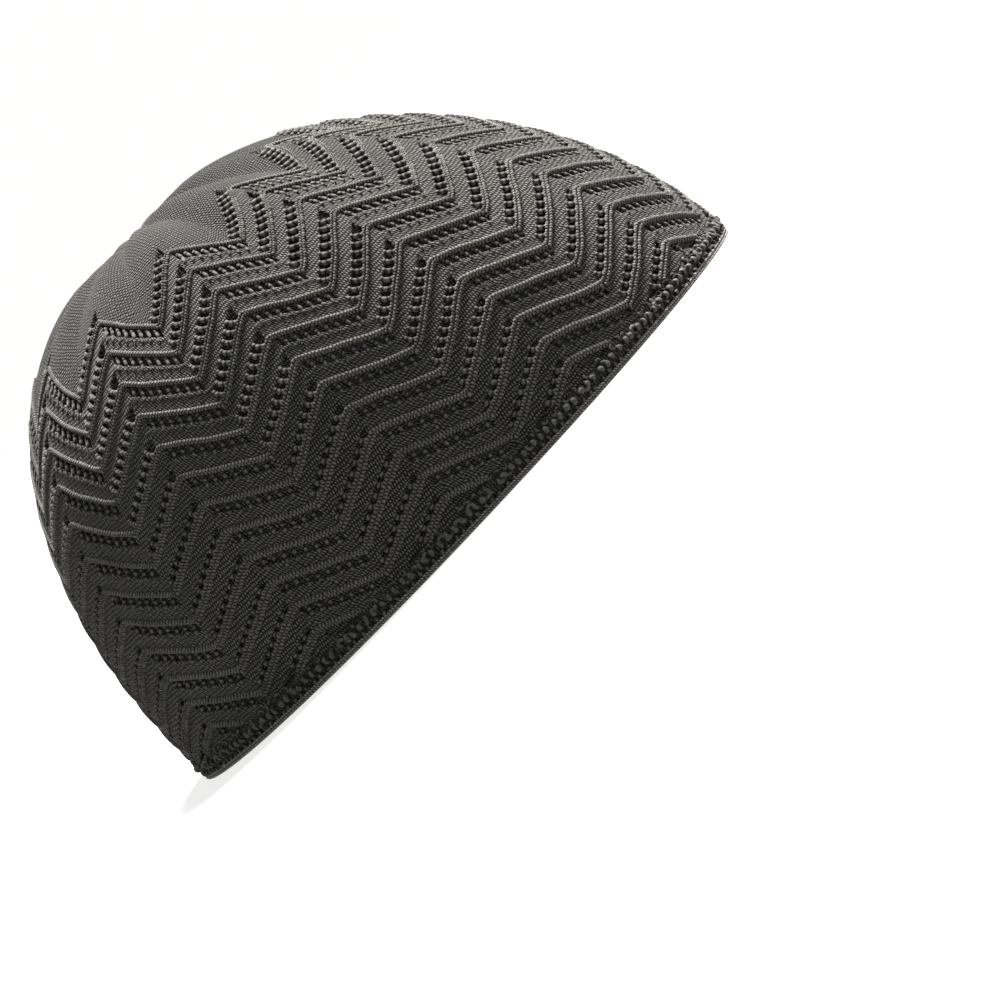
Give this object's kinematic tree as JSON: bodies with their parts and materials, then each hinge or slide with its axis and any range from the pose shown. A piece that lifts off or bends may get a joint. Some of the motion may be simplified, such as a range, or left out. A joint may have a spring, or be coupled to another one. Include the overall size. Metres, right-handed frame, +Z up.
{
  "type": "knitted kufi cap",
  "caption": "Brimless knitted kufi skullcap with a plain star crown, zigzag lace wall, bobble border and corded rim, standing open side down.",
  "frame": {"origin": "centre of the bounding box, on the plane of the rim that the cap rests on", "axes": "+X towards the front of the cap, +Z up from the rim to the crown, +Y across to the wearer's left"},
  "size_m": [0.1966, 0.1488, 0.1113],
  "materials": {
    "crown_knit": "fine plain knit of warm charcoal yarn, soft sheen",
    "lace_knit": "fine lace knit of warm charcoal yarn with raised ribs and open eyelets",
    "border_knit": "bobble-stitch knit of warm charcoal yarn",
    "cord_knit": "twin rounded strands of warm charcoal yarn"
  },
  "bodies": {
    "root": {"crown": "crown_knit", "side_wall": "lace_knit", "border_band": "border_knit", "rim_cord": "cord_knit"}
  },
  "joints": []
}
